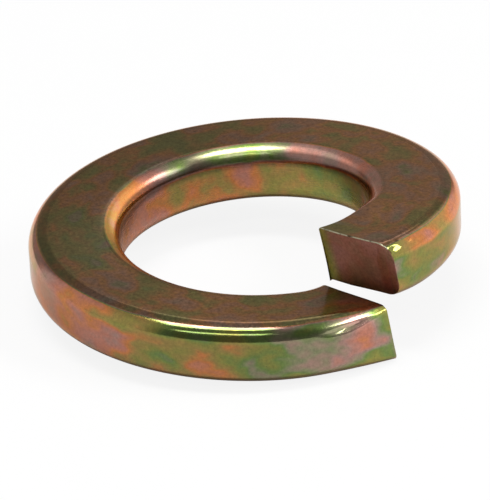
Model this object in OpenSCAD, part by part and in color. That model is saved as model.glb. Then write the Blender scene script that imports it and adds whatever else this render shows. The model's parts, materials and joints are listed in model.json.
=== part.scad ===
// Spring lock washer for an 8 mm screw.
// One length of wire with rolled edges is coiled once and cut through on the slant. The ends
// spring apart along the axis, and their sharp corners bite when the screw is tightened.
// The axis is Z, the lowest point lies on Z = 0, and the cut faces +X.

/* [Bore] */
// Diameter of the hole that the screw passes through
bore_d = 8.3; // [8.1:0.1:8.9]

/* [Wire] */
// Width of the wire, from the hole to the outside of the ring
wire_w = 2.9; // [2:0.1:3.6]
// Thickness of the wire, along the axis
wire_t = 2.05; // [1.5:0.05:2.6]
// Radius of the wire's rolled edges
edge_r = 0.6; // [0.2:0.05:0.7]

/* [Coil] */
// Rise of the wire in one full turn, which is how far the ends spring apart
rise = 2.1; // [0.3:0.1:3]

/* [Cut] */
// Gap between the ends, around the middle of the wire
gap = 0.16; // [0.1:0.02:1]
// Lean of the cut from the axis, which makes the upper end overhang the lower one
cut_lean = 11; // [0:1:20]
// Turn of the cut from the radius, which makes the lower end longer on the outside
cut_turn = 8; // [-12:1:12]

/* [Hidden] */

bore_r = bore_d / 2;
outer_r = bore_r + wire_w;
mid_r = bore_r + wire_w / 2;
free_height = rise + wire_t;

// Angle that the gap takes up around the axis, and the angle that the wire covers
gap_angle = gap / mid_r * 180 / PI;
wire_angle = 360 - gap_angle;
// Sections along the wire, and steps in the arc of one rolled edge
rings = 120;
edge_steps = 5;
// The swept walls stand this far past the true cylinders that trim them
trim = 0.05;

// One rolled edge of the section: side is 1 at the outside and -1 at the hole, level is 1 on top
function rolled_edge(side, level) = [
    for (i = [0 : edge_steps])
        let (
            step = side * level > 0 ? i : edge_steps - i,
            angle = 90 * step / edge_steps,
            past = step == 0 ? trim : 0
        )
        [
            mid_r + side * (wire_w / 2 - edge_r + edge_r * cos(angle) + past),
            level * (wire_t / 2 - edge_r + edge_r * sin(angle))
        ]
];

// Section of the wire, as [radius, height] around its middle
section = concat(rolled_edge(1, 1), rolled_edge(-1, 1), rolled_edge(-1, -1), rolled_edge(1, -1));

// Angle from the wire's nominal end to the flat cut, for the line of the wire at this radius and
// height. Each try puts the last angle back into the equation of the cut's plane.
function cut_angle(radius, height, tries = 5) =
    tries == 0 ? 0 :
    let (
        last = cut_angle(radius, height, tries - 1),
        leaned = (height + rise * last / 360) * tan(cut_lean),
        turned = (radius * cos(last) - mid_r) * tan(cut_turn)
    )
    asin((leaned - turned) / radius);

// The cut face, as [radius, angle, height] for each point of the section
cut_face = [
    for (p = section)
        let (angle = cut_angle(p[0], p[1]))
        [p[0], angle, p[1] + rise * angle / 360]
];
lowest = min([for (p = cut_face) p[2]]);

// The wire is the cut face, screwed clockwise around the axis from the lower end to the upper one
module coiled_wire() {
    sides = len(cut_face);
    points = [
        for (ring = [0 : rings], p = cut_face)
            let (
                along = wire_angle * ring / rings,
                around = -gap_angle / 2 - p[1] - along
            )
            [p[0] * cos(around), p[0] * sin(around), p[2] - lowest + rise * along / 360]
    ];
    walls = [
        for (ring = [0 : rings - 1], side = [0 : sides - 1])
            let (
                a = ring * sides + side,
                b = ring * sides + (side + 1) % sides
            )
            each [[a, b, b + sides], [a, b + sides, a + sides]]
    ];
    lower_end = [for (side = [sides - 1 : -1 : 0]) side];
    upper_end = [for (side = [0 : sides - 1]) rings * sides + side];
    polyhedron(points, concat(walls, [lower_end, upper_end]));
}

// A cylinder on the axis that runs past both faces of the washer
module through_cylinder(radius) {
    translate([0, 0, -free_height])
        cylinder(h = 3 * free_height, r = radius, $fn = 180);
}

// The wire, trimmed to a true bore and a true outside
module lock_washer() {
    color("darkkhaki")
        difference() {
            intersection() {
                coiled_wire();
                through_cylinder(outer_r);
            }
            through_cylinder(bore_r);
        }
}

lock_washer();
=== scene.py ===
import json
import math

import bmesh
import bpy
from bpy.props import FloatProperty, FloatVectorProperty, IntProperty, PointerProperty
from mathutils import Matrix, Vector, noise


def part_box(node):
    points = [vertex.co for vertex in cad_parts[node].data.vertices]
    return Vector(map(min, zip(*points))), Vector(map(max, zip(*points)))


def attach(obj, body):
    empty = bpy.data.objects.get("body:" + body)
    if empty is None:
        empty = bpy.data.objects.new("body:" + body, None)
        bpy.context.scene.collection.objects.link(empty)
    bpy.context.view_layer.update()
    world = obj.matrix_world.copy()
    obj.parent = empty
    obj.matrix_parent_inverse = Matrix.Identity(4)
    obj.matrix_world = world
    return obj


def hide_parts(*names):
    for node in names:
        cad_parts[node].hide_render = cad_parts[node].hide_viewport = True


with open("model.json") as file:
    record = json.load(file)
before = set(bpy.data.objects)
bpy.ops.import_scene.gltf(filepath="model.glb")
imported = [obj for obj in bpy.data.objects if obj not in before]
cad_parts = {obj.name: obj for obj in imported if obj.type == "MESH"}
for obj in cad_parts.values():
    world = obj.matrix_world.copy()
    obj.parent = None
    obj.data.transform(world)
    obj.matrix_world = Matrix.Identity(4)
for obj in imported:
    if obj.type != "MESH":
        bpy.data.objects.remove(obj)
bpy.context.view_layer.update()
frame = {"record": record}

bl_info = {
    "name": "Spring Lock Washer",
    "version": (1, 0, 0),
    "blender": (4, 5, 0),
    "location": "View3D > Sidebar > Washer",
    "description": "Builds a plated split lock washer and the light table it is shown on",
    "category": "Object",
}

BORE_RADIUS = frame["record"]["mounts"][0]["dims"]["r_mm"] / 1000
OUTER_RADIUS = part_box("lock_washer")[1].y
MM = 0.001


# Sizes and finishes that a user may change

class WasherSizes(bpy.types.PropertyGroup):
    bore: FloatProperty(
        name="Bore", description="Diameter of the hole",
        default=2 * BORE_RADIUS, unit="LENGTH", precision=5)
    outside: FloatProperty(
        name="Outside", description="Diameter over the ring",
        default=2 * OUTER_RADIUS, unit="LENGTH", precision=5)
    thickness: FloatProperty(
        name="Wire thickness", description="Height of the wire",
        default=2.05 * MM, unit="LENGTH", precision=5)
    edge: FloatProperty(
        name="Edge radius", description="Radius of the rolled edges",
        default=0.6 * MM, unit="LENGTH", precision=5)
    rise: FloatProperty(
        name="Rise", description="Climb of the wire in one turn",
        default=2.1 * MM, unit="LENGTH", precision=5)
    gap: FloatProperty(
        name="Gap", description="Width of the split",
        default=0.16 * MM, unit="LENGTH", precision=5)
    cut_lean: FloatProperty(
        name="Cut lean", description="Lean of the split from the axis",
        default=math.radians(11), subtype="ANGLE")
    cut_turn: FloatProperty(
        name="Cut turn", description="Turn of the split from the radius",
        default=math.radians(8), subtype="ANGLE")
    flare: FloatProperty(
        name="Flare", description="How far the lower tip bends outwards",
        default=0.01 * MM, unit="LENGTH", precision=6)
    steps: IntProperty(
        name="Steps", description="Sections along the wire",
        default=360, min=60, max=720)


class PlatingFinish(bpy.types.PropertyGroup):
    roughness: FloatProperty(
        name="Roughness", description="Blur of the reflections in the metal",
        default=0.16, min=0, max=1, subtype="FACTOR")
    patch: FloatProperty(
        name="Patch size", description="Size of the coloured patches",
        default=0.72 * MM, unit="LENGTH", precision=5)
    grain: FloatProperty(
        name="Grain size", description="Size of the speckle",
        default=0.055 * MM, unit="LENGTH", precision=6)


class LightTable(bpy.types.PropertyGroup):
    floor_colour: FloatVectorProperty(
        name="Floor", description="Colour of the table",
        default=(0.86, 0.86, 0.86), subtype="COLOR", size=3)
    lamp: FloatProperty(
        name="Lamp", description="Brightness of the overhead lamp", default=11.5, min=0)
    fill: FloatProperty(
        name="Fill", description="Brightness of the light from all round", default=0.3, min=0)


# Node helpers

def add_node(tree, kind, place, **values):
    """A new node at its place in the editor, with its properties set."""
    node = tree.nodes.new(kind)
    node.location = place
    for name, value in values.items():
        setattr(node, name, value)
    return node


def value_of(tree, socket, target):
    """Sets a socket to a number or a colour, or links another socket to it."""
    if isinstance(target, bpy.types.NodeSocket):
        tree.links.new(target, socket)
    else:
        socket.default_value = target


def math_node(tree, place, operation, *values):
    """A calculation with numbers or sockets, in the order of the node's own inputs."""
    node = add_node(tree, "ShaderNodeMath", place, operation=operation)
    for socket, value in zip(node.inputs, values):
        value_of(tree, socket, value)
    return node.outputs[0]


def map_range(tree, place, value, low, high, to_low=0.0, to_high=1.0, smooth=True):
    """A value that goes from one number to another while its source goes from low to high."""
    node = add_node(tree, "ShaderNodeMapRange", place)
    node.interpolation_type = "SMOOTHSTEP" if smooth else "LINEAR"
    value_of(tree, node.inputs["Value"], value)
    node.inputs["From Min"].default_value = low
    node.inputs["From Max"].default_value = high
    node.inputs["To Min"].default_value = to_low
    node.inputs["To Max"].default_value = to_high
    return node.outputs["Result"]


def mix_colour(tree, place, factor, first, second, blend="MIX"):
    """Two colours mixed or blended by a factor."""
    node = add_node(tree, "ShaderNodeMix", place, data_type="RGBA", blend_type=blend)
    value_of(tree, node.inputs[0], factor)
    for socket, value in ((node.inputs[6], first), (node.inputs[7], second)):
        value_of(tree, socket, (*value, 1.0) if isinstance(value, tuple) else value)
    return node.outputs[2]


def blend_values(tree, place, factor, first, second):
    """The first value where the factor is zero and the second where it is one."""
    node = add_node(tree, "ShaderNodeMix", place, data_type="FLOAT")
    value_of(tree, node.inputs[0], factor)
    value_of(tree, node.inputs[2], first)
    value_of(tree, node.inputs[3], second)
    return node.outputs[0]


def brightened(tree, place, colour, value):
    """A colour times a value."""
    lift = add_node(tree, "ShaderNodeCombineColor", place)
    for socket in lift.inputs:
        value_of(tree, socket, value)
    return mix_colour(tree, (place[0] + 200, place[1]), 1.0, colour, lift.outputs[0], "MULTIPLY")


def ramp(tree, place, factor, stops, interpolation="EASE"):
    """A colour ramp from a list of places and colours."""
    node = add_node(tree, "ShaderNodeValToRGB", place)
    value_of(tree, node.inputs["Fac"], factor)
    bar = node.color_ramp
    bar.interpolation = interpolation
    while len(bar.elements) < len(stops):
        bar.elements.new(1.0)
    for element, (position, colour) in zip(bar.elements, stops):
        element.position = position
        element.color = (*colour, 1.0)
    return node.outputs["Color"]


def noise_node(tree, place, vector, scale, detail=2.0, roughness=0.5, distortion=0.0, w=None):
    """Noise of a scale, of its own pattern where w is given."""
    node = add_node(tree, "ShaderNodeTexNoise", place)
    if w is not None:
        node.noise_dimensions = "4D"
        node.inputs["W"].default_value = w
    value_of(tree, node.inputs["Vector"], vector)
    value_of(tree, node.inputs["Scale"], scale)
    node.inputs["Detail"].default_value = detail
    node.inputs["Roughness"].default_value = roughness
    node.inputs["Distortion"].default_value = distortion
    return node.outputs["Fac"]


def new_group(name, inputs, outputs):
    """An empty shader node group with its sockets, and its input and output nodes."""
    tree = bpy.data.node_groups.new(name, "ShaderNodeTree")
    for label, kind, default in inputs:
        socket = tree.interface.new_socket(name=label, in_out="INPUT", socket_type=kind)
        if default is not None:
            socket.default_value = default
    for label, kind in outputs:
        tree.interface.new_socket(name=label, in_out="OUTPUT", socket_type=kind)
    return tree, add_node(tree, "NodeGroupInput", (-900, 0)), add_node(tree, "NodeGroupOutput", (900, 0))


def place_group(tree, place, group, **inputs):
    """A shared group in a tree, with its inputs set by name."""
    node = add_node(tree, "ShaderNodeGroup", place, node_tree=group)
    for name, value in inputs.items():
        value_of(tree, node.inputs[name.replace("_", " ")], value)
    return node


# Effects that the two finishes share

def film_group():
    """Thickness of the chromate film, which drifts over the surface in soft patches around zero."""
    tree, into, out = new_group(
        "Chromate Film",
        [("Vector", "NodeSocketVector", None), ("Patch Size", "NodeSocketFloat", 0.001)],
        [("Film", "NodeSocketFloat")],
    )
    vector, size = into.outputs["Vector"], into.outputs["Patch Size"]
    # Patches are a little longer along the wire, and broad ones shift them
    flat = add_node(tree, "ShaderNodeVectorMath", (-700, 100), operation="MULTIPLY")
    value_of(tree, flat.inputs[0], vector)
    flat.inputs[1].default_value = (0.72, 1.0, 1.0)
    scale = math_node(tree, (-700, -100), "DIVIDE", 1.0, size)
    broad_scale = math_node(tree, (-500, -250), "MULTIPLY", scale, 0.45)
    patches = noise_node(tree, (-300, 150), flat.outputs[0], scale, 2.0, 0.42, 0.2, w=11.3)
    broad = noise_node(tree, (-300, -150), flat.outputs[0], broad_scale, 1.0, 0.5, 0.3, w=4.2)
    patches = math_node(tree, (0, 150), "MULTIPLY", patches, 0.7)
    broad = math_node(tree, (0, -150), "MULTIPLY", broad, 0.3)
    total = math_node(tree, (200, 0), "ADD", patches, broad)
    film = map_range(tree, (500, 0), total, 0.34, 0.66, -0.5, 0.5, smooth=False)
    value_of(tree, out.inputs["Film"], film)
    return tree


def grain_group():
    """Fine speckle of the plating: a tone to multiply colours by, and a height."""
    tree, into, out = new_group(
        "Plating Grain",
        [("Vector", "NodeSocketVector", None), ("Size", "NodeSocketFloat", 0.0001),
         ("Contrast", "NodeSocketFloat", 0.2)],
        [("Tone", "NodeSocketFloat"), ("Height", "NodeSocketFloat"), ("Pits", "NodeSocketFloat")],
    )
    vector = into.outputs["Vector"]
    scale = math_node(tree, (-700, -100), "DIVIDE", 1.0, into.outputs["Size"])
    coarse = math_node(tree, (-500, -200), "MULTIPLY", scale, 0.45)
    speckle = noise_node(tree, (-300, 150), vector, scale, 2.0, 0.6, 0.0, w=9.1)
    clumps = noise_node(tree, (-300, -150), vector, coarse, 2.0, 0.5, 0.0, w=3.3)
    both = math_node(tree, (0, 0), "ADD", speckle, clumps)
    centred = math_node(tree, (150, 0), "SUBTRACT", both, 1.0)
    swing = math_node(tree, (300, 0), "MULTIPLY", centred, into.outputs["Contrast"])
    swing = math_node(tree, (400, 0), "MULTIPLY", swing, 2.0)
    value_of(tree, out.inputs["Tone"], math_node(tree, (600, 100), "ADD", swing, 1.0))
    value_of(tree, out.inputs["Height"], both)
    pit_scale = math_node(tree, (-500, -400), "MULTIPLY", scale, 0.6)
    pits = noise_node(tree, (-300, -400), vector, pit_scale, 0.0, 0.5, 0.0, w=6.6)
    value_of(tree, out.inputs["Pits"], map_range(tree, (300, -400), pits, 0.83, 0.9))
    return tree


def drawn_group():
    """Faint lines along the wire from its rolling, read from the wire's own coordinates."""
    tree, into, out = new_group(
        "Rolled Lines",
        [("Place", "NodeSocketVector", None), ("Spacing", "NodeSocketFloat", 0.0001)],
        [("Lines", "NodeSocketFloat")],
    )
    # The lines are drawn far out along the wire
    thin = add_node(tree, "ShaderNodeVectorMath", (-600, 0), operation="MULTIPLY")
    value_of(tree, thin.inputs[0], into.outputs["Place"])
    thin.inputs[1].default_value = (0.03, 1.0, 1.0)
    scale = math_node(tree, (-600, -200), "DIVIDE", 1.0, into.outputs["Spacing"])
    lines = noise_node(tree, (-300, 0), thin.outputs[0], scale, 2.0, 0.6, 0.0, w=2.4)
    value_of(tree, out.inputs["Lines"], lines)
    return tree


# The two finishes

# Colours of the film in order of its thickness. They come round again, so the last is the first.
FILM_COLOURS = (
    (0.00, (0.12, 0.18, 0.04)),
    (0.15, (0.2, 0.19, 0.036)),
    (0.30, (0.27, 0.18, 0.045)),
    (0.45, (0.45, 0.155, 0.04)),
    (0.60, (0.40, 0.15, 0.10)),
    (0.76, (0.30, 0.17, 0.14)),
    (0.90, (0.19, 0.185, 0.10)),
    (1.00, (0.12, 0.18, 0.04)),
)

# Thickness of the film along the wire, from the lower end to the upper one, for each side of the
# section. One unit is one round of the colours.
FILM_ON = {
    "outer wall": (
        (0.0, 0.83), (0.045, 0.84), (0.075, 0.97), (0.12, 1.14), (0.17, 1.3), (0.24, 1.62), (0.31, 1.68),
        (0.345, 1.88), (0.38, 1.6), (0.5, 1.3), (0.8, 1.3), (0.86, 1.25), (0.93, 1.12), (0.97, 1.05),
        (1.0, 0.95)),
    "outer round": (
        (0.0, 1.0), (0.025, 0.95), (0.045, 0.9), (0.07, 0.93), (0.12, 0.97), (0.165, 1.08), (0.21, 1.3),
        (0.26, 1.58), (0.31, 1.7), (0.345, 1.85), (0.39, 1.6), (0.6, 1.3), (0.8, 1.55), (0.88, 1.5),
        (0.93, 1.48), (0.97, 1.38), (1.0, 1.15)),
    "inner round": (
        (0.0, 0.6), (0.28, 0.43), (0.4, 0.43), (0.46, 0.5), (0.49, 0.64), (0.53, 0.93), (0.6, 1.02),
        (0.64, 0.95), (0.68, 0.76), (0.85, 0.68), (1.0, 0.6)),
    "inner wall": (
        (0.0, 0.4), (0.3, 0.25), (0.38, 0.5), (0.46, 0.66), (0.52, 0.36), (0.57, 0.38), (0.61, 0.48),
        (0.65, 0.24), (0.7, 0.15), (0.76, 0.18), (1.0, 0.3)),
    "face": (
        (0.0, 0.5), (0.12, 0.48), (0.25, 0.42), (0.31, 0.2), (0.4, 0.36), (0.52, 0.5), (0.66, 0.42),
        (0.76, 0.3), (0.85, 0.6), (0.95, 0.45), (1.0, 0.4)),
}
# Upper limit of the film in these lists
FILM_MOST = 2.0
# How far the film drifts in patches on each side of the section
FILM_SWING = {
    "outer wall": 0.66, "outer round": 0.5, "inner round": 0.3, "inner wall": 0.4, "face": 0.92}
# The flat faces' film is thin and even, which leaves this share of a plain brown
FACE_BROWN = (0.29, 0.262, 0.138)
FACE_BROWN_SHARE = 0.34

# Painted highlights and shade: a brightness that multiplies the plating's colour along the wire, for each
# side of the section
PAINTED_LIGHT_ON = {
    "outer round": (
        (0.0, 2.0), (0.035, 2.0), (0.06, 1.15), (0.15, 0.95), (0.2, 1.05), (0.28, 1.0), (0.345, 2.0),
        (0.42, 1.0), (0.8, 1.4), (0.9, 1.6), (1.0, 1.4)),
    "inner round": (
        (0.0, 0.45), (0.2, 0.5), (0.29, 2.3), (0.36, 3.6), (0.44, 2.4), (0.49, 1.25), (0.54, 1.2),
        (0.585, 4.0), (0.63, 4.0), (0.67, 2.4), (0.76, 1.9), (1.0, 1.2)),
    "outer wall": (
        (0.0, 1.22), (0.06, 1.05), (0.1, 0.82), (0.25, 0.84), (0.31, 1.0), (0.345, 2.0), (0.4, 0.95),
        (0.8, 0.9), (0.93, 1.1), (1.0, 1.2)),
    "inner wall": (
        (0.0, 0.9), (0.4, 1.05), (0.6, 1.05), (0.74, 1.25), (1.0, 1.2)),
    "face": (
        (0.0, 0.82), (0.14, 0.82), (0.24, 0.6), (0.4, 0.6), (0.55, 0.66), (0.71, 1.0), (0.85, 0.95),
        (1.0, 1.0)),
}
# Upper limit of the brightness in these lists
PAINTED_LIGHT_MOST = 4.0
# Painted shade: how much the inner edge is darkened on its lower half and in the crease under it
LOWER_EDGE_SHADE = 0.68
CREASE_SHADE = 0.45
# Painted shade: how much the plating is darkened on the rolled edges below
UNDER_SHADE = 0.55

# The cut: olive beside the hole, then torn brown-red metal, and painted shade along the bottom
CUT_OLIVE = (0.21, 0.25, 0.045)
CUT_TORN = (0.3, 0.13, 0.115)
CUT_SHADE = (0.02, 0.018, 0.016)
CUT_SHARE = 0.78
# Where the olive turns to torn metal, in half widths, and where the painted shade darkens it
TORN_FROM, TORN_TO = -0.7, -0.42
SHADE_FROM, SHADE_TO = -0.45 * MM, -0.98 * MM

PIT_COLOUR = (0.03, 0.02, 0.015)
LINE_SPACING = 0.09 * MM
BUMP_HEIGHT = 0.0009 * MM
# How much more the reflections blur on the flats, on the inner edges, on the outer ones, and at the cut
BLUR_MORE = (0.1, 0.07, -0.06)
CUT_BLUR = 0.2
SPECULAR_TINT = (1.0, 0.66, 0.45, 1.0)
COAT, CUT_COAT = 0.5, 0.1
# The worn rim, from its dark specks to its pale metal, which is bare metal and a painted highlight
RIM_WEAR_AND_HIGHLIGHT_COLOURS = ((0.75, (0.1, 0.085, 0.05)), (1.3, (0.5, 0.48, 0.34)))


def along_wire(tree, place, travel, stops, most):
    """A value that changes along the wire, from a list of places and values up to a limit."""
    greys = tuple((at, (value / most,) * 3) for at, value in stops)
    value = ramp(tree, place, travel, greys, "EASE")
    return math_node(tree, (place[0] + 250, place[1]), "MULTIPLY", value, most)


class WireZones:
    """Values that say where on the wire a point is, read from the wire's own coordinates."""

    def __init__(self, tree, place, sizes):
        x, y = place
        wire = add_node(tree, "ShaderNodeAttribute", (x, y), attribute_name="wire_place")
        split = add_node(tree, "ShaderNodeSeparateXYZ", (x + 200, y))
        value_of(tree, split.inputs[0], wire.outputs["Vector"])
        along, across, up = split.outputs
        length = math.tau * (sizes.bore + sizes.outside) / 4
        half_width = (sizes.outside - sizes.bore) / 4
        half_height = sizes.thickness / 2
        edge = sizes.edge
        self.place = wire.outputs["Vector"]
        self.half_width = half_width
        self.across = across
        self.up = up
        # From 0 at the lower end to 1 at the upper one
        self.travel = math_node(tree, (x + 400, y), "DIVIDE", along, length)
        self.outside = math_node(tree, (x + 400, y - 150), "GREATER_THAN", across, 0.0)
        spread = math_node(tree, (x + 400, y - 300), "ABSOLUTE", across)
        # Past the flat face, where the reflections are sharper
        self.rolled = map_range(
            tree, (x + 600, y - 300), spread, half_width - edge * 1.1, half_width - edge * 0.95)
        # On the edge's own colour, which starts lower on the outside
        inner = map_range(
            tree, (x + 600, y - 450), across, edge * 0.85 - half_width, edge * 0.66 - half_width)
        outer = map_range(
            tree, (x + 600, y - 600), across, half_width - edge * 0.56, half_width - edge * 0.42)
        self.rounding = math_node(tree, (x + 800, y - 500), "MAXIMUM", inner, outer)
        self.walls = map_range(
            tree, (x + 600, y - 750), up, half_height - edge * 0.7, half_height - edge * 1.05)
        # In the crease between the inner edge and the wall of the hole, where shade is painted
        level = math_node(tree, (x + 600, y - 900), "SUBTRACT", up, half_height - edge * 0.9)
        level = math_node(tree, (x + 750, y - 900), "ABSOLUTE", level)
        crease = map_range(tree, (x + 900, y - 900), level, edge * 0.05, edge * 0.4, 1.0, 0.0)
        inside = math_node(tree, (x + 900, y - 1050), "SUBTRACT", 1.0, self.outside)
        self.crease = math_node(tree, (x + 1050, y - 900), "MULTIPLY", crease, inside)
        # On the lower half of the inner edge, where shade is painted
        lower = map_range(
            tree, (x + 600, y - 1200), up, half_height - edge * 0.26, half_height - edge * 0.46)
        lower = math_node(tree, (x + 900, y - 1200), "MULTIPLY", lower, inside)
        above = math_node(tree, (x + 900, y - 1350), "SUBTRACT", 1.0, self.walls)
        self.lower = math_node(tree, (x + 1050, y - 1200), "MULTIPLY", lower, above)
        # On the rolled edges below, where shade is painted
        self.under = map_range(
            tree, (x + 600, y - 1500), up, edge * 0.55 - half_height, edge * 0.25 - half_height)


def on_each_side(tree, place, zones, values):
    """One value for each side of the section, joined by the zones."""
    x, y = place
    outer = blend_values(tree, (x, y), zones.walls, values["outer round"], values["outer wall"])
    inner = blend_values(tree, (x, y - 150), zones.walls, values["inner round"], values["inner wall"])
    sides = blend_values(tree, (x + 200, y), zones.outside, inner, outer)
    return blend_values(tree, (x + 400, y), zones.rounding, values["face"], sides)


def film_colour(tree, zones, film_tree, patch):
    """Colour of the chromate film, which changes along the wire and drifts in patches."""
    drift = {
        side: along_wire(tree, (-1900, 1300 - 200 * row), zones.travel, stops, FILM_MOST)
        for row, (side, stops) in enumerate(FILM_ON.items())}
    drift = on_each_side(tree, (-1400, 600), zones, drift)
    film = place_group(tree, (-1000, 100), film_tree, Vector=zones.place, Patch_Size=patch)
    swing = on_each_side(tree, (-1400, -100), zones, FILM_SWING)
    film = math_node(tree, (-800, 100), "MULTIPLY", film.outputs["Film"], swing)
    film = math_node(tree, (-600, 300), "ADD", film, drift)
    film = math_node(tree, (-450, 300), "FRACT", film)
    colour = ramp(tree, (-300, 300), film, FILM_COLOURS, "LINEAR")
    face = math_node(tree, (-600, 0), "SUBTRACT", 1.0, zones.rounding)
    brown = math_node(tree, (-450, 0), "MULTIPLY", face, FACE_BROWN_SHARE)
    return mix_colour(tree, (0, 300), brown, colour, FACE_BROWN)


def painted_light_on_plating(tree, zones):
    """Painted highlights and shade, as a brightness of the plating: high on the rolled edges, low on the
    walls and in the crease.
    """
    shine = {
        side: along_wire(tree, (-1900, 100 - 200 * row), zones.travel, stops, PAINTED_LIGHT_MOST)
        for row, (side, stops) in enumerate(PAINTED_LIGHT_ON.items())}
    shine = on_each_side(tree, (-1400, -400), zones, shine)
    painted_shades = ((zones.crease, CREASE_SHADE), (zones.lower, LOWER_EDGE_SHADE), (zones.under, UNDER_SHADE))
    for row, (zone, shade_depth) in enumerate(painted_shades):
        left = math_node(tree, (-800, -1000 - 150 * row), "MULTIPLY_ADD", zone, -shade_depth, 1.0)
        shine = math_node(tree, (-500 + 150 * row, -200), "MULTIPLY", shine, left)
    return shine


def sheared_colour(tree, zones, colour):
    """Dark torn metal with a smooth olive strip beside the hole, and painted shade along the bottom."""
    strip = math_node(tree, (-600, 700), "DIVIDE", zones.across, zones.half_width)
    torn = map_range(tree, (-400, 700), strip, TORN_FROM, TORN_TO)
    torn = mix_colour(tree, (-200, 600), torn, CUT_OLIVE, CUT_TORN)
    # Painted shade darkens the cut towards its bottom
    dark = map_range(tree, (-400, 500), zones.up, SHADE_FROM, SHADE_TO)
    torn = mix_colour(tree, (0, 600), dark, torn, CUT_SHADE)
    return mix_colour(tree, (100, 450), CUT_SHARE, colour, torn)


def finish_material(name, sizes, finish, groups, sheared=False):
    """The plating, or with sheared the bare cut, which is rougher and has less clear coat."""
    material = bpy.data.materials.new(name)
    material.use_nodes = True
    tree = material.node_tree
    tree.nodes.clear()
    film_tree, grain_tree, lines_tree = groups
    coords = add_node(tree, "ShaderNodeTexCoord", (-2200, 300)).outputs["Object"]
    zones = WireZones(tree, (-3400, -200), sizes)
    colour = film_colour(tree, zones, film_tree, finish.patch)
    if sheared:
        colour = sheared_colour(tree, zones, colour)
    else:
        # The plating's colour is brightened for painted highlights and darkened for painted shade
        colour = brightened(tree, (0, -150), colour, painted_light_on_plating(tree, zones))

    contrast = 0.35 if sheared else blend_values(tree, (-800, -500), zones.rounding, 0.6, 0.3)
    grain = place_group(
        tree, (-600, -500), grain_tree, Vector=coords, Size=finish.grain, Contrast=contrast)
    colour = brightened(tree, (250, -200), colour, grain.outputs["Tone"])
    colour = mix_colour(tree, (550, 200), grain.outputs["Pits"], colour, PIT_COLOUR)

    lines = place_group(
        tree, (-600, -800), lines_tree, Place=zones.place, Spacing=LINE_SPACING).outputs["Lines"]
    blur = math_node(tree, (-300, -700), "MULTIPLY", lines, 0.1)
    flat, inner, outer = (finish.roughness + more for more in BLUR_MORE)
    edges = blend_values(tree, (-500, -600), zones.outside, inner, outer)
    least = blend_values(tree, (-300, -600), zones.rolled, flat, edges)
    blur = math_node(tree, (-100, -700), "ADD", blur, least)
    if sheared:
        blur = math_node(tree, (100, -700), "ADD", blur, CUT_BLUR)

    height = math_node(tree, (-300, -900), "MULTIPLY", lines, 0.6)
    height = math_node(tree, (-100, -900), "ADD", height, grain.outputs["Height"])
    bump = add_node(tree, "ShaderNodeBump", (200, -800))
    bump.inputs["Strength"].default_value = 1.0
    bump.inputs["Distance"].default_value = BUMP_HEIGHT
    value_of(tree, bump.inputs["Height"], height)

    shader = add_node(tree, "ShaderNodeBsdfPrincipled", (700, 0))
    value_of(tree, shader.inputs["Base Color"], colour)
    value_of(tree, shader.inputs["Roughness"], blur)
    value_of(tree, shader.inputs["Normal"], bump.outputs[0])
    shader.inputs["Metallic"].default_value = 1.0
    shader.inputs["Specular Tint"].default_value = SPECULAR_TINT
    shader.inputs["Coat Weight"].default_value = CUT_COAT if sheared else COAT
    shader.inputs["Coat Roughness"].default_value = 0.12
    out = add_node(tree, "ShaderNodeOutputMaterial", (1000, 0))
    tree.links.new(shader.outputs[0], out.inputs["Surface"])
    return material


def rim_wear_and_highlight_material(finish, groups):
    """Pale worn plating on the sharp upper rim of the cut, its paleness partly a painted highlight."""
    material = bpy.data.materials.new("Worn Rim Painted Highlight")
    material.use_nodes = True
    tree = material.node_tree
    tree.nodes.clear()
    coords = add_node(tree, "ShaderNodeTexCoord", (-1000, 0)).outputs["Object"]
    grain = place_group(tree, (-700, 0), groups[1], Vector=coords, Size=finish.grain * 2, Contrast=1.5)
    colour = ramp(tree, (-400, 0), grain.outputs["Height"], RIM_WEAR_AND_HIGHLIGHT_COLOURS, "LINEAR")
    shader = add_node(tree, "ShaderNodeBsdfPrincipled", (200, 0))
    value_of(tree, shader.inputs["Base Color"], colour)
    value_of(
        tree, shader.inputs["Roughness"],
        map_range(tree, (-400, -300), grain.outputs["Height"], 0.7, 1.3, 0.3, 0.5))
    shader.inputs["Metallic"].default_value = 1.0
    out = add_node(tree, "ShaderNodeOutputMaterial", (500, 0))
    tree.links.new(shader.outputs[0], out.inputs["Surface"])
    return material


# The wire. A point of it has a travel, which is the angle from the lower end, a side, which is its
# distance from the middle line towards the outside, and a level, which is its height over that line.

# Material slots of the cuts and of the worn rim with its painted highlight. The plating has the first
# one.
CUT_SLOT, WORN_HIGHLIT_SLOT = 1, 2
# Width of the broken rim on both cuts
RIM = 0.035 * MM

# How sharp the rolled edges get at the lower end and at the upper one, and how far that reaches. The
# upper outer edge is drawn sharper at the lower end alone.
INNER_SHARPNESS = (0.7, 0.9)
LOWER_SHARPNESS = (0.6, 0.2)
UPPER_SHARPNESS = 0.55
SHARP_REACH = (1.8 * MM, 4 * MM)

# Marks of the shear on the upper outer edge: the depth, the tilt of the section at the middle and
# the spread around it, then the distance from the end and the spread along the wire
FLAT_MARK = (0.034 * MM, math.radians(50), math.radians(18), 0.7 * MM, 0.7 * MM)
CREASE_MARK = (0.085 * MM, math.radians(70), math.radians(9.5), 1.2 * MM, 0.55 * MM)
DENTS_MARK = (0.11 * MM, math.radians(52), math.radians(25), 0.3 * MM, 0.45 * MM)
# The crease slants by this angle in a millimetre
CREASE_SLANT = math.radians(5)
# The burr and the chip on the upper end's lower rim
BURR = 0.035 * MM
CHIP = 0.09 * MM

# Reach of the changes to both cuts and to the lower tip
CUT_REACH = 3 * MM
TIP_REACH = 3.5 * MM
# The lower tip: how much its cut takes from the outside and gives to the inside, how much longer it
# is in all, and how far its outside turns up
TIP_SLANT = 0.13 * MM
TIP_GAIN = 0.005 * MM
TIP_TURN = 0.1 * MM
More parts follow.
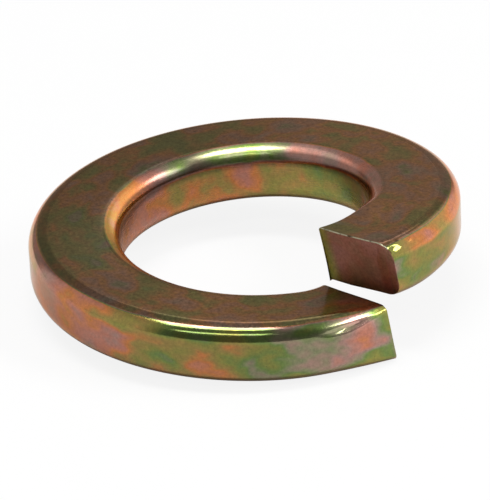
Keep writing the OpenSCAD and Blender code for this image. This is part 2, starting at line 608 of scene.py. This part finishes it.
# The upper end: how far its inner side sags on top, how much less it sags below, and how far its outer
# lower corner is worn up
SAG = 0.26 * MM
SAG_LESS = 0.07 * MM
WEAR = 0.16 * MM
WEAR_REACH = 1.6 * MM
# The rolls left the wire a little wider on two sides of the ring
SWELL = 0.02
SWELL_TRAVEL = math.radians(243)


def fade(distance, reach):
    """One at an end of the wire, falling to zero at the reach."""
    return max(0.0, 1 - distance / reach)


def smooth(share):
    """A share from 0 to 1 that starts and stops gently."""
    return share * share * (3 - 2 * share)


def bell(value, centre, width):
    """One at the centre and next to nothing at twice the width from it."""
    return math.exp(-((value - centre) / width) ** 2)


class Wire:
    """The wire's sizes, and the measures that follow from them."""

    def __init__(self, sizes):
        self.sizes = sizes
        self.middle = (sizes.bore + sizes.outside) / 4
        self.width = (sizes.outside - sizes.bore) / 2
        self.half_height = sizes.thickness / 2
        self.start = sizes.gap / self.middle / 2
        self.turn = math.tau - 2 * self.start

    def climb(self, angle):
        """How far the wire rises over an angle around the axis."""
        return self.sizes.rise * angle / math.tau

    def cut_angle(self, radius, height):
        """Angle from the wire's nominal end to the flat cut, for one line of the wire."""
        angle = 0.0
        for _ in range(5):
            leaned = (height + self.climb(angle)) * math.tan(self.sizes.cut_lean)
            turned = (radius * math.cos(angle) - self.middle) * math.tan(self.sizes.cut_turn)
            angle = math.asin((leaned - turned) / radius)
        return angle


def wire_section(bm, sizes):
    """The wire's outline in the XZ plane: a rectangle with rolled edges and finer flats."""
    inner, outer, half = sizes.bore / 2, sizes.outside / 2, sizes.thickness / 2
    places = ((inner, -half), (outer, -half), (outer, half), (inner, half))
    corners = [bm.verts.new((x, 0, z)) for x, z in places]
    bm.faces.new(corners)
    bmesh.ops.bevel(
        bm, geom=corners, offset=sizes.edge, offset_type="OFFSET", segments=18, profile=0.5,
        affect="VERTICES", material=-1)
    flats = [edge for edge in bm.edges if edge.calc_length() > sizes.edge]
    bmesh.ops.subdivide_edges(bm, edges=flats, cuts=5)
    bmesh.ops.delete(bm, geom=bm.faces[:], context="FACES_ONLY")


def sharpened(wire, side, level, amount):
    """A point of the section's outline, with its rolled edges drawn towards sharp corners."""
    corner = Vector((math.copysign(wire.width / 2, side), math.copysign(wire.half_height, level)))
    offset = Vector((side, level)) - corner
    if max(abs(offset.x), abs(offset.y)) >= wire.sizes.edge:
        return side, level
    return tuple(corner + offset * (1 - amount))


def corner_sharpness(from_low, from_high, side, level):
    """How far a rolled edge is drawn to a sharp corner near the two ends, from 0 to 1."""
    low = fade(from_low, SHARP_REACH[0]) ** 2
    high = fade(from_high, SHARP_REACH[1])
    if side < 0:
        return max(INNER_SHARPNESS[0] * low, INNER_SHARPNESS[1] * smooth(high))
    if level < 0:
        return max(LOWER_SHARPNESS[0] * low, LOWER_SHARPNESS[1] * high ** 4)
    return UPPER_SHARPNESS * low


def mark_depth(mark, tilt, distance):
    """Depth of one mark at a tilt of the section and a distance from the end."""
    depth, tilt_middle, tilt_spread, place, spread = mark
    return depth * bell(tilt, tilt_middle, tilt_spread) * bell(distance, place, spread)


def edge_marks(wire, from_low, from_high, side, level):
    """Inward depth of the marks that the shear left on the upper outer edge, and the tilt of the
    section there: a flat and a slanting crease near the lower tip, and dents at the upper end."""
    x = side - wire.width / 2 + wire.sizes.edge
    z = level - wire.half_height + wire.sizes.edge
    if x < 0 or z < 0:
        return 0.0, 0.0
    tilt = math.atan2(x, z)
    slant = CREASE_SLANT * (from_low / MM - 1.0)
    rough = noise.noise(Vector((from_high / MM * 3.2, tilt * 3, 5.3)))
    depth = (
        mark_depth(FLAT_MARK, tilt, from_low)
        + mark_depth(CREASE_MARK, tilt - slant, from_low)
        + mark_depth(DENTS_MARK, tilt, from_high) * rough)
    return depth, tilt


def end_burr(wire, from_high, side, level):
    """How far the upper end's lower rim is torn: along the wire, and down."""
    above_rim = level + wire.half_height
    rim = bell(above_rim, 0, 0.1 * MM) * bell(from_high, 0, 0.12 * MM)
    ragged = noise.noise(Vector((side / MM * 6, 4.1, 0.7)))
    corner = bell(side, -wire.width / 2, 0.15 * MM) * bell(above_rim, 0.22 * MM, 0.08 * MM)
    return -CHIP * corner * bell(from_high, 0, 0.2 * MM), abs(BURR * rim * ragged)


def shaped_point(wire, travel, side, level):
    """Where a point of the wire stands. Near both cuts the section is drawn sharper and marked. The
    lower tip is turned up outside and bends out, and its cut is shifted towards the wire outside. The
    upper end sags inside, and its outer lower corner is worn up. The wire is wider at two places."""
    from_low, from_high = travel * wire.middle, (wire.turn - travel) * wire.middle
    amount = corner_sharpness(from_low, from_high, side, level)
    new_side, new_level = sharpened(wire, side, level, amount)
    depth, tilt = edge_marks(wire, from_low, from_high, side, level)
    new_side -= depth * math.sin(tilt)
    new_level -= depth * math.cos(tilt)

    # Along the wire: the cut stays flat where the section was drawn sharper
    torn, drop = end_burr(wire, from_high, side, level)
    tip = fade(from_low, TIP_REACH) ** 2
    near = fade(min(from_low, from_high), CUT_REACH)
    shift = wire.cut_angle(wire.middle + new_side, new_level) - wire.cut_angle(wire.middle + side, level)
    outward = side / wire.width
    travel += shift * near + (torn + (TIP_SLANT * outward - TIP_GAIN) * tip) / wire.middle

    # Up and down
    below = 0.5 - level / wire.sizes.thickness
    sag = (SAG - SAG_LESS * below) * smooth(fade(from_high, CUT_REACH)) * (0.5 - outward)
    wear = WEAR * fade(from_high, WEAR_REACH) ** 2 * (0.5 + outward) * below
    turned = 2 * outward if side > 0 else 2 * outward * (1 - below)
    new_level += wear + TIP_TURN * tip * turned - sag - drop

    new_side *= 1 + SWELL * (1 + math.cos(2 * travel - SWELL_TRAVEL))
    new_side += wire.sizes.flare * tip
    angle, radius = -wire.start - travel, wire.middle + new_side
    return radius * math.cos(angle), radius * math.sin(angle), new_level + wire.climb(travel)


def on_worn_highlit_rim(sizes, height, side, level):
    """True on the upper end's upper rim, but not beside the hole."""
    top = sizes.thickness / 2 - sizes.edge / 3
    return level > top and side > -MM and height > sizes.rise + top


def build_wire(sizes):
    """The wire as one closed mesh: the cut section is swept up the coil, then its ends are shaped."""
    wire = Wire(sizes)
    bm = bmesh.new()
    across = bm.verts.layers.float.new("across")
    up = bm.verts.layers.float.new("up")
    along = bm.verts.layers.float.new("along")
    wire_section(bm, sizes)
    for vert in bm.verts:
        vert[across] = vert.co.x - wire.middle
        vert[up] = vert.co.z
        angle = wire.cut_angle(vert.co.x, vert.co.z)
        turned = Matrix.Rotation(-wire.start - angle, 3, "Z") @ Vector((vert.co.x, 0, 0))
        vert.co = (turned.x, turned.y, vert.co.z + wire.climb(angle))
    lowest = min(vert.co.z for vert in bm.verts)
    bmesh.ops.translate(bm, vec=(0, 0, -lowest), verts=bm.verts[:])

    first = bm.edges[:]
    swept = bmesh.ops.spin(
        bm, geom=bm.verts[:] + first, cent=(0, 0, 0), axis=(0, 0, 1),
        dvec=(0, 0, wire.climb(wire.turn) / sizes.steps),
        angle=-wire.turn, steps=sizes.steps, use_merge=False, use_duplicate=False)
    last = [item for item in swept["geom_last"] if isinstance(item, bmesh.types.BMEdge)]
    ends = []
    for loop in (first, last):
        ends += bmesh.ops.edgeloop_fill(bm, edges=loop, mat_nr=CUT_SLOT, use_smooth=False)["faces"]
    bmesh.ops.recalc_face_normals(bm, faces=bm.faces[:])

    for vert in bm.verts:
        travel = (vert.co.z + lowest - vert[up]) / sizes.rise * math.tau
        vert[along] = travel * wire.middle
        x, y, z = shaped_point(wire, travel, vert[across], vert[up])
        vert.co = (x, y, z - lowest)

    rim = [edge for face in ends for edge in face.edges]
    broken = bmesh.ops.bevel(
        bm, geom=rim, offset=RIM, offset_type="OFFSET", segments=2, profile=0.5,
        affect="EDGES", material=-1)
    for face in broken["faces"]:
        if all(on_worn_highlit_rim(sizes, vert.co.z, vert[across], vert[up]) for vert in face.verts):
            face.material_index = WORN_HIGHLIT_SLOT

    mesh = bpy.data.meshes.new("split_ring")
    bm.to_mesh(mesh)
    bm.free()
    store_wire_place(mesh)
    return mesh


def store_wire_place(mesh):
    """Keeps each point's place on the wire as one vector: along it, across it and up it."""
    parts = [[item.value for item in mesh.attributes[name].data] for name in ("along", "across", "up")]
    kept = mesh.attributes.new("wire_place", "FLOAT_VECTOR", "POINT")
    for item, place in zip(kept.data, zip(*parts)):
        item.vector = place


class WASHER_OT_build(bpy.types.Operator):
    """Makes the washer from one length of wire, with its plating"""
    bl_idname = "washer.build"
    bl_label = "Build Washer"

    def execute(self, context):
        scene = context.scene
        sizes, finish = scene.washer_sizes, scene.washer_finish
        mesh = build_wire(sizes)
        groups = film_group(), grain_group(), drawn_group()
        mesh.materials.append(finish_material("Yellow Zinc", sizes, finish, groups))
        mesh.materials.append(finish_material("Sheared End", sizes, finish, groups, sheared=True))
        mesh.materials.append(rim_wear_and_highlight_material(finish, groups))
        mesh.polygons.foreach_set("use_smooth", [True] * len(mesh.polygons))
        mesh.set_sharp_from_angle(angle=math.radians(35))
        washer = bpy.data.objects.new("split_ring", mesh)
        scene.collection.objects.link(washer)
        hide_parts("lock_washer")
        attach(washer, "root")
        return {"FINISHED"}


# Camera, table and light. Directions here are to the camera's right, away from it, and up.

CAMERA_AZIMUTH = math.radians(-39.51)
CAMERA_HEIGHT = math.radians(26.235)
CAMERA_ROLL = math.radians(2.877)
# The camera's distance in outer radii, and one radius in pixels of the picture's width
DISTANCE_IN_RADII = 20
RADIUS_PIXELS = 213.99
PICTURE_PIXELS = 490
SENSOR_WIDTH = 36
# The camera aims at this height on the axis, moved right and up by these shares of the radius
AIM_HEIGHT = 1.045 * MM
AIM_SHARES = (-0.0025, 0.0733)

# Strip lamps: where they stand, their width and length in degrees, and their share of the brightness
LAMPS = {
    "Overhead Strip": ((-0.11, -0.12, 1), 32, 15, 1.0),
    "Front Strip": ((-0.2, -0.9, 1), 38, 5, 0.6),
    "Right Strip": ((0.73, -0.19, 0.655), 17, 32, 0.73),
}
LAMP_DISTANCE = 0.3
LAMP_AIM_HEIGHT = 2 * MM

# The round table, the scale of its fine tooth, and how dark the tooth gets
TABLE_RADIUS = 0.6
TOOTH_SCALE = 400.0
TOOTH_DARK = 0.985
# How much the table glows to the camera and in the metal, how much of that is left beside the washer as
# painted shade in the metal's reflections, and between which distances it comes back, in outer radii
CAMERA_GLOW = 0.87
METAL_GLOW = 0.35
SHADOW_GLOW = 0.15
SHADOW_REACH = (1.15, 1.7)

# Greys of the room that the metal mirrors, from straight down to straight up: its sides, and the
# cards in front of the washer and behind it and the pale strip in that one. Each card has its azimuth
# in degrees to the right of away, and the half width where it starts and where it is full.
ROOM_SIDES = ((0.0, 0.9), (0.7, 0.9), (0.85, 0.8), (0.93, 0.6), (1.0, 0.35))
ROOM_CARDS = (
    (180, 60, 35, ((0.0, 0.9), (0.41, 0.9), (0.45, 0.2), (0.88, 0.2), (1.0, 0.35))),
    (-12, 46, 34, (
        (0.0, 0.9), (0.48, 0.9), (0.51, 0.27), (0.8, 0.27), (0.88, 0.33), (1.0, 0.35))),
    (8, 13, 6, (
        (0.0, 0.9), (0.48, 0.9), (0.51, 0.27), (0.765, 0.27), (0.79, 1.1), (0.84, 1.1), (0.88, 0.35),
        (1.0, 0.35))),
)


def table_direction(right, away, up):
    """A direction in the part's frame from one that is given as the camera sees it."""
    turn = Matrix.Rotation(CAMERA_AZIMUTH + math.pi / 2, 3, "Z")
    return turn @ Vector((right, away, up))


def add_camera(scene):
    """The camera, with a long lens from far away."""
    camera = bpy.data.cameras.new("Camera")
    camera.sensor_fit = "HORIZONTAL"
    camera.sensor_width = SENSOR_WIDTH
    camera.lens = RADIUS_PIXELS * DISTANCE_IN_RADII / PICTURE_PIXELS * SENSOR_WIDTH
    camera.clip_start = 0.01
    camera.clip_end = 10
    right = table_direction(1, 0, 0)
    forward = table_direction(0, math.cos(CAMERA_HEIGHT), -math.sin(CAMERA_HEIGHT))
    up = table_direction(0, math.sin(CAMERA_HEIGHT), math.cos(CAMERA_HEIGHT))
    side = right * math.cos(CAMERA_ROLL) - up * math.sin(CAMERA_ROLL)
    over = right * math.sin(CAMERA_ROLL) + up * math.cos(CAMERA_ROLL)
    aim = right * AIM_SHARES[0] + up * AIM_SHARES[1] - forward * DISTANCE_IN_RADII
    place = Vector((0, 0, AIM_HEIGHT)) + aim * OUTER_RADIUS
    holder = bpy.data.objects.new("Camera", camera)
    holder.matrix_world = Matrix.Translation(place) @ Matrix((side, over, -forward)).transposed().to_4x4()
    scene.collection.objects.link(holder)
    scene.camera = holder


def add_lamp(scene, name, direction, width, length, strength):
    """A rectangular lamp that faces the washer. Width and length are angles as the washer sees them."""
    lamp = bpy.data.lights.new(name, "AREA")
    lamp.shape = "RECTANGLE"
    lamp.size = 2 * LAMP_DISTANCE * math.tan(math.radians(width) / 2)
    lamp.size_y = 2 * LAMP_DISTANCE * math.tan(math.radians(length) / 2)
    lamp.energy = strength * math.pi * lamp.size * lamp.size_y
    toward = table_direction(*direction).normalized()
    across = table_direction(1, 0, 0)
    across = (across - toward * across.dot(toward)).normalized()
    basis = Matrix((across, toward.cross(across), toward)).transposed().to_4x4()
    place = toward * LAMP_DISTANCE + Vector((0, 0, LAMP_AIM_HEIGHT))
    holder = bpy.data.objects.new(name, lamp)
    holder.matrix_world = Matrix.Translation(place) @ basis
    scene.collection.objects.link(holder)


def glow_share(tree, place, coords):
    """How much the table glows by itself: most to the camera and through glass, less in the metal. Close
    to the washer the glow in the metal gives way, a painted shade in its reflections, so that the table's
    own shadow shows there."""
    x, y = place
    distance = add_node(tree, "ShaderNodeVectorMath", (x, y - 400), operation="LENGTH")
    value_of(tree, distance.inputs[0], coords)
    shadow_from, shadow_to = (OUTER_RADIUS * reach for reach in SHADOW_REACH)
    open_floor = map_range(
        tree, (x + 200, y - 400), distance.outputs["Value"], shadow_from, shadow_to, SHADOW_GLOW)
    path = add_node(tree, "ShaderNodeLightPath", (x, y))
    seen = math_node(
        tree, (x + 200, y), "MAXIMUM",
        path.outputs["Is Camera Ray"], path.outputs["Is Transmission Ray"])
    seen = math_node(tree, (x + 400, y), "MULTIPLY", seen, CAMERA_GLOW)
    mirrored = math_node(tree, (x + 400, y - 200), "MULTIPLY", path.outputs["Is Glossy Ray"], METAL_GLOW)
    mirrored = math_node(tree, (x + 600, y - 200), "MULTIPLY", mirrored, open_floor)
    return math_node(tree, (x + 800, y), "MAXIMUM", seen, mirrored)


def floor_material(colour):
    """A pale table that glows a little by itself."""
    material = bpy.data.materials.new("Light Table")
    material.use_nodes = True
    tree = material.node_tree
    tree.nodes.clear()
    coords = add_node(tree, "ShaderNodeTexCoord", (-800, -200)).outputs["Object"]
    tooth = noise_node(tree, (-500, -200), coords, TOOTH_SCALE, 2.0)
    dark = tuple(part * TOOTH_DARK for part in colour)
    tone = ramp(tree, (-300, -200), tooth, ((0.3, dark), (0.7, tuple(colour))))
    diffuse = add_node(tree, "ShaderNodeBsdfDiffuse", (0, -100))
    value_of(tree, diffuse.inputs["Color"], tone)
    glow = add_node(tree, "ShaderNodeEmission", (0, -300))
    glow.inputs["Strength"].default_value = 1.0
    mix = add_node(tree, "ShaderNodeMixShader", (300, 0))
    value_of(tree, mix.inputs[0], glow_share(tree, (-800, 400), coords))
    tree.links.new(diffuse.outputs[0], mix.inputs[1])
    tree.links.new(glow.outputs[0], mix.inputs[2])
    out = add_node(tree, "ShaderNodeOutputMaterial", (600, 0))
    tree.links.new(mix.outputs[0], out.inputs["Surface"])
    return material


def grey_ramp(tree, place, factor, stops):
    """A ramp from a list of places and greys."""
    return ramp(tree, place, factor, tuple((p, (g, g, g)) for p, g in stops), "LINEAR")


def card_mask(tree, place, compass, azimuth, outer, inner):
    """One inside a card of the room and zero outside it, from the compass direction of the view."""
    angle = math.radians(azimuth)
    facing = add_node(tree, "ShaderNodeVectorMath", place, operation="DOT_PRODUCT")
    value_of(tree, facing.inputs[0], compass)
    facing.inputs[1].default_value = table_direction(math.sin(angle), math.cos(angle), 0)
    return map_range(
        tree, (place[0] + 300, place[1]), facing.outputs["Value"],
        math.cos(math.radians(outer)), math.cos(math.radians(inner)))


def room_world(fill):
    """White to the camera. The metal mirrors a pale room with dark cards, and all else sees the fill."""
    world = bpy.data.worlds.new("Studio")
    world.use_nodes = True
    tree = world.node_tree
    tree.nodes.clear()
    coords = add_node(tree, "ShaderNodeTexCoord", (-1800, 0)).outputs["Generated"]
    split = add_node(tree, "ShaderNodeSeparateXYZ", (-1600, 0))
    value_of(tree, split.inputs[0], coords)
    height = math_node(tree, (-1000, 0), "MULTIPLY_ADD", split.outputs["Z"], 0.5, 0.5)
    level = add_node(tree, "ShaderNodeVectorMath", (-1600, -300), operation="MULTIPLY")
    value_of(tree, level.inputs[0], coords)
    level.inputs[1].default_value = (1, 1, 0)
    compass = add_node(tree, "ShaderNodeVectorMath", (-1400, -300), operation="NORMALIZE")
    value_of(tree, compass.inputs[0], level.outputs[0])
    room = grey_ramp(tree, (-800, 500), height, ROOM_SIDES)
    for row, (azimuth, outer, inner, greys) in enumerate(ROOM_CARDS):
        card = grey_ramp(tree, (-800, 200 - 230 * row), height, greys)
        mask = card_mask(tree, (-1200, -520 - 200 * row), compass.outputs[0], azimuth, outer, inner)
        room = mix_colour(tree, (-500 + 170 * row, 0), mask, room, card)

    path = add_node(tree, "ShaderNodeLightPath", (-800, 800))
    clear = math_node(
        tree, (-500, 800), "MAXIMUM", path.outputs["Is Camera Ray"], path.outputs["Is Transmission Ray"])
    soft = mix_colour(tree, (-200, 0), path.outputs["Is Glossy Ray"], (fill, fill, fill), room)
    light = mix_colour(tree, (0, 100), clear, soft, (1.0, 1.0, 1.0))
    background = add_node(tree, "ShaderNodeBackground", (200, 0))
    value_of(tree, background.inputs["Color"], light)
    out = add_node(tree, "ShaderNodeOutputWorld", (400, 0))
    tree.links.new(background.outputs[0], out.inputs["Surface"])
    return world


class WASHER_OT_stage(bpy.types.Operator):
    """Makes the camera, the pale table, the strip lamps and the room"""
    bl_idname = "washer.stage"
    bl_label = "Set the Stage"

    def execute(self, context):
        scene = context.scene
        table = scene.washer_table
        add_camera(scene)
        bm = bmesh.new()
        bmesh.ops.create_circle(bm, cap_ends=True, segments=96, radius=TABLE_RADIUS)
        mesh = bpy.data.meshes.new("table")
        bm.to_mesh(mesh)
        bm.free()
        mesh.materials.append(floor_material(table.floor_colour))
        floor = bpy.data.objects.new("table", mesh)
        scene.collection.objects.link(floor)
        for name, (direction, width, length, share) in LAMPS.items():
            add_lamp(scene, name, direction, width, length, table.lamp * share)
        scene.world = room_world(table.fill)
        scene.view_settings.view_transform = "Standard"
        return {"FINISHED"}


class WASHER_PT_panel(bpy.types.Panel):
    """The washer's sizes, finish and stage"""
    bl_idname = "WASHER_PT_panel"
    bl_label = "Spring Lock Washer"
    bl_space_type = "VIEW_3D"
    bl_region_type = "UI"
    bl_category = "Washer"

    def draw(self, context):
        for group in ("washer_sizes", "washer_finish", "washer_table"):
            box = self.layout.box()
            settings = getattr(context.scene, group)
            for name in settings.__annotations__:
                box.prop(settings, name)
        self.layout.operator("washer.build")
        self.layout.operator("washer.stage")


CLASSES = (WasherSizes, PlatingFinish, LightTable, WASHER_OT_build, WASHER_OT_stage, WASHER_PT_panel)


def register():
    for item in CLASSES:
        bpy.utils.register_class(item)
    bpy.types.Scene.washer_sizes = PointerProperty(type=WasherSizes)
    bpy.types.Scene.washer_finish = PointerProperty(type=PlatingFinish)
    bpy.types.Scene.washer_table = PointerProperty(type=LightTable)


def unregister():
    del bpy.types.Scene.washer_table
    del bpy.types.Scene.washer_finish
    del bpy.types.Scene.washer_sizes
    for item in reversed(CLASSES):
        bpy.utils.unregister_class(item)


def main():
    register()
    bpy.ops.washer.build()
    bpy.ops.washer.stage()


if __name__ == "__main__":
    main()
